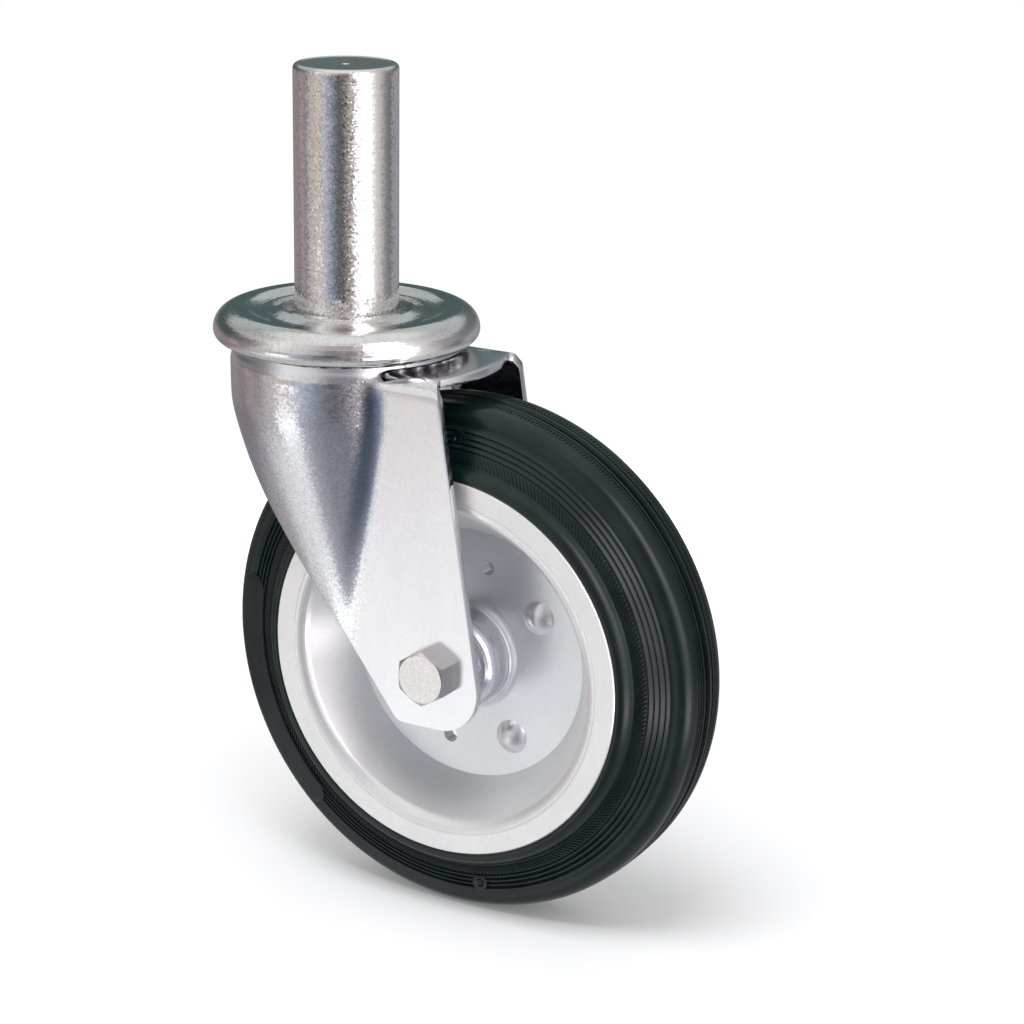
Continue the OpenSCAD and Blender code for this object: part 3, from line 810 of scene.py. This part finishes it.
# What bright metal mirrors: the studio seen from the castor, going round from behind it, over
# the left side, the camera (turn 0) and the right side, as (turn in degrees, colour)
LOW_VIEW = [
    (-180, (0.24, 0.23, 0.23)), (-140, (0.30, 0.27, 0.27)), (-122, (0.27, 0.22, 0.23)),
    (-108, (0.40, 0.32, 0.33)), (-95, (0.22, 0.21, 0.24)), (-83, (0.50, 0.47, 0.46)),
    (-68, (0.58, 0.50, 0.45)), (-54, (0.52, 0.49, 0.48)), (-41, (0.50, 0.54, 0.66)),
    (-30, (0.29, 0.32, 0.42)), (-20, (0.17, 0.18, 0.20)), (-11, (0.08, 0.10, 0.10)),
    (-3, (0.16, 0.14, 0.14)), (6, (0.36, 0.31, 0.31)), (20, (0.62, 0.59, 0.57)),
    (29, (1.3, 1.28, 1.26)), (57, (1.5, 1.5, 1.5)), (69, (0.76, 0.74, 0.74)),
    (84, (0.60, 0.58, 0.58)), (96, (0.30, 0.29, 0.31)), (112, (0.16, 0.16, 0.17)),
    (128, (0.34, 0.33, 0.36)), (150, (0.32, 0.33, 0.38)), (180, (0.24, 0.23, 0.23))]
HIGH_VIEW = [
    (-180, (0.07, 0.11, 0.11)), (-120, (0.07, 0.10, 0.10)), (-85, (0.24, 0.23, 0.22)),
    (-60, (0.85, 0.84, 0.84)), (-30, (0.60, 0.60, 0.60)), (-12, (0.25, 0.22, 0.25)),
    (12, (0.29, 0.25, 0.28)), (32, (1.8, 1.7, 1.8)), (54, (2.8, 2.6, 2.8)), (68, (0.8, 0.8, 0.8)),
    (88, (0.40, 0.38, 0.40)), (120, (0.22, 0.22, 0.22)), (180, (0.07, 0.11, 0.11))]
UPPER_VIEW = [
    (-180, (0.50, 0.54, 0.56)), (-120, (0.36, 0.38, 0.38)), (-85, (0.55, 0.54, 0.53)),
    (-60, (0.90, 0.89, 0.89)), (-30, (0.62, 0.60, 0.62)), (-12, (0.42, 0.39, 0.42)),
    (6, (0.44, 0.41, 0.43)), (18, (0.6, 0.56, 0.6)), (30, (3.4, 3.1, 3.4)), (48, (3.8, 3.5, 3.8)), (62, (0.9, 0.9, 0.9)),
    (88, (0.60, 0.58, 0.60)), (120, (0.45, 0.47, 0.48)), (180, (0.50, 0.54, 0.56))]


GROUND_VIEW = [
    (-180, (0.22, 0.22, 0.25)), (-120, (0.22, 0.19, 0.21)), (-88, (0.42, 0.40, 0.40)),
    (-75, (0.50, 0.50, 0.51)), (-68, (1.20, 1.22, 1.23)), (-52, (1.20, 1.22, 1.23)), (-45, (0.44, 0.45, 0.50)),
    (-24, (0.22, 0.23, 0.26)), (2, (0.18, 0.19, 0.22)), (14, (0.34, 0.33, 0.35)),
    (28, (3.8, 3.5, 3.8)), (52, (4.2, 3.9, 4.2)), (66, (0.9, 0.88, 0.9)), (95, (0.42, 0.42, 0.44)),
    (120, (0.28, 0.29, 0.31)), (180, (0.22, 0.22, 0.25))]
DEEP_VIEW = [
    (-180, (0.42, 0.43, 0.45)), (-110, (0.40, 0.39, 0.40)), (-84, (0.76, 0.76, 0.76)),
    (-56, (0.78, 0.78, 0.79)), (-38, (0.36, 0.36, 0.40)), (-20, (0.24, 0.25, 0.28)),
    (12, (0.26, 0.27, 0.30)), (60, (0.55, 0.55, 0.57)),
    (180, (0.42, 0.43, 0.45))]


def panorama(tree, turn, name, stops):
    """A colour ramp all the way round, with its stops given in degrees."""
    ramp = tree.nodes.new("ShaderNodeValToRGB")
    ramp.name = name
    while len(ramp.color_ramp.elements) < len(stops):
        ramp.color_ramp.elements.new(0.5)
    for element, (at, colour) in zip(ramp.color_ramp.elements, stops):
        element.position = (at + 180) / 360
        element.color = (*colour, 1)
    tree.links.new(turn, ramp.inputs["Fac"])
    return ramp.outputs["Color"]


def light_scene(look):
    """A plain white studio for matt surfaces, and its panels and dark corners for metal to mirror."""
    world = bpy.data.worlds.new("studio")
    bpy.context.scene.world = world
    world.use_nodes = True
    tree = world.node_tree
    tree.nodes.clear()
    link = tree.links.new

    def add(kind, **settings):
        node = tree.nodes.new(kind)
        for key, value in settings.items():
            setattr(node, key, value)
        return node

    def blend(factor, low, high):
        node = add("ShaderNodeMix", data_type="RGBA")
        link(factor, node.inputs[0])
        for socket, value in ((6, low), (7, high)):
            if isinstance(value, tuple):
                node.inputs[socket].default_value = (*value, 1)
            else:
                link(value, node.inputs[socket])
        return node.outputs[2]

    def climb(start, end):
        node = add("ShaderNodeMapRange", interpolation_type="SMOOTHSTEP")
        link(parts.outputs["Z"], node.inputs["Value"])
        node.inputs["From Min"].default_value = math.sin(math.radians(start))
        node.inputs["From Max"].default_value = math.sin(math.radians(end))
        return node.outputs["Result"]

    place = add("ShaderNodeTexCoord")
    facing = add("ShaderNodeVectorRotate", rotation_type="Z_AXIS")
    facing.inputs["Angle"].default_value = math.radians(90 - VIEW_TURN)
    link(place.outputs["Generated"], facing.inputs["Vector"])
    parts = add("ShaderNodeSeparateXYZ")
    link(facing.outputs["Vector"], parts.inputs[0])
    angle = add("ShaderNodeMath", operation="ARCTAN2")
    link(parts.outputs["Y"], angle.inputs[0])
    link(parts.outputs["X"], angle.inputs[1])
    turn = add("ShaderNodeMapRange")
    turn.inputs["From Min"].default_value = -math.pi
    turn.inputs["From Max"].default_value = math.pi
    link(angle.outputs[0], turn.inputs["Value"])
    low = panorama(tree, turn.outputs["Result"], "low", LOW_VIEW)
    high = panorama(tree, turn.outputs["Result"], "high", HIGH_VIEW)
    ground = panorama(tree, turn.outputs["Result"], "ground", GROUND_VIEW)
    deep = blend(climb(-58, -42), (0.52, 0.53, 0.55), panorama(tree, turn.outputs["Result"], "deep", DEEP_VIEW))
    room = blend(climb(-36, -24), deep, ground)
    room = blend(climb(-23, -11), room, low)
    room = blend(climb(-8, 6), room, high)
    room = blend(climb(17, 27), room, panorama(tree, turn.outputs["Result"], "upper", UPPER_VIEW))
    room = blend(climb(46, 62), room, (0.78, 0.80, 0.79))
    plain = blend(ray_kind(tree, "Is Glossy Ray"), (look.fill, look.fill, look.fill), room)
    back = add("ShaderNodeBackground")
    link(blend(ray_kind(tree, "Is Camera Ray"), plain, (1.0, 1.0, 1.0)), back.inputs["Color"])
    out = add("ShaderNodeOutputWorld")
    link(back.outputs[0], out.inputs["Surface"])
    lamp = bpy.data.lights.new("key", "AREA")
    lamp.shape = "RECTANGLE"
    lamp.size = 0.9
    lamp.size_y = 0.7
    lamp.energy = look.key
    key = bpy.data.objects.new("key", lamp)
    key.location = (0.1, -0.5, 1.3)
    key.rotation_euler = (Vector((0.03, 0, -0.1)) - key.location).to_track_quat("-Z", "Y").to_euler()
    key.visible_glossy = False
    bpy.context.scene.collection.objects.link(key)


def place_camera():
    """The photograph's viewing angle."""
    turn, pitch, roll = (math.radians(a) for a in (VIEW_TURN, 17.287, 0.798))
    back = Vector((math.sin(turn) * math.cos(pitch), -math.cos(turn) * math.cos(pitch), math.sin(pitch)))
    level = Vector((math.cos(turn), math.sin(turn), 0))
    rise = back.cross(level)
    right = math.cos(roll) * level + math.sin(roll) * rise
    up = math.cos(roll) * rise - math.sin(roll) * level
    camera = bpy.data.cameras.new("camera")
    camera.sensor_width = 36
    camera.lens = 2864.9 / 1024 * 36
    camera.clip_end = 60
    eye = bpy.data.objects.new("camera", camera)
    offset_x = (346.87 - 512) / 2864.9 * 1097.08
    offset_y = -(305.67 - 512) / 2864.9 * 1097.08
    spot = (back * 1097.08 - right * offset_x - up * offset_y) * MM
    eye.matrix_world = Matrix.Translation(spot) @ Matrix((right, up, back)).transposed().to_4x4()
    bpy.context.scene.collection.objects.link(eye)
    bpy.context.scene.camera = eye


class CASTOR_PT_panel(bpy.types.Panel):
    bl_idname = "CASTOR_PT_panel"
    bl_label = "Castor"
    bl_space_type = "VIEW_3D"
    bl_region_type = "UI"
    bl_category = "Castor"

    def draw(self, context):
        for operator in OPERATORS:
            self.layout.operator(operator.bl_idname)
        for group in (context.scene.castor_fork, context.scene.castor_stage):
            for name in group.__annotations__:
                self.layout.prop(group, name)


OPERATORS = (CASTOR_OT_fork, CASTOR_OT_tyre, CASTOR_OT_metal, CASTOR_OT_stage)
GROUPS = {"castor_fork": CastorForkSizes, "castor_stage": CastorStageLook}


def register():
    for item in (*GROUPS.values(), *OPERATORS, CASTOR_PT_panel):
        bpy.utils.register_class(item)
    for name, group in GROUPS.items():
        setattr(bpy.types.Scene, name, bpy.props.PointerProperty(type=group))


def unregister():
    for name in GROUPS:
        delattr(bpy.types.Scene, name)
    for item in (CASTOR_PT_panel, *reversed(OPERATORS), *reversed(list(GROUPS.values()))):
        bpy.utils.unregister_class(item)


def main():
    register()
    bpy.ops.castor.fork()
    bpy.ops.castor.tyre()
    bpy.ops.castor.metal()
    bpy.ops.castor.stage()


if __name__ == "__main__":
    main()
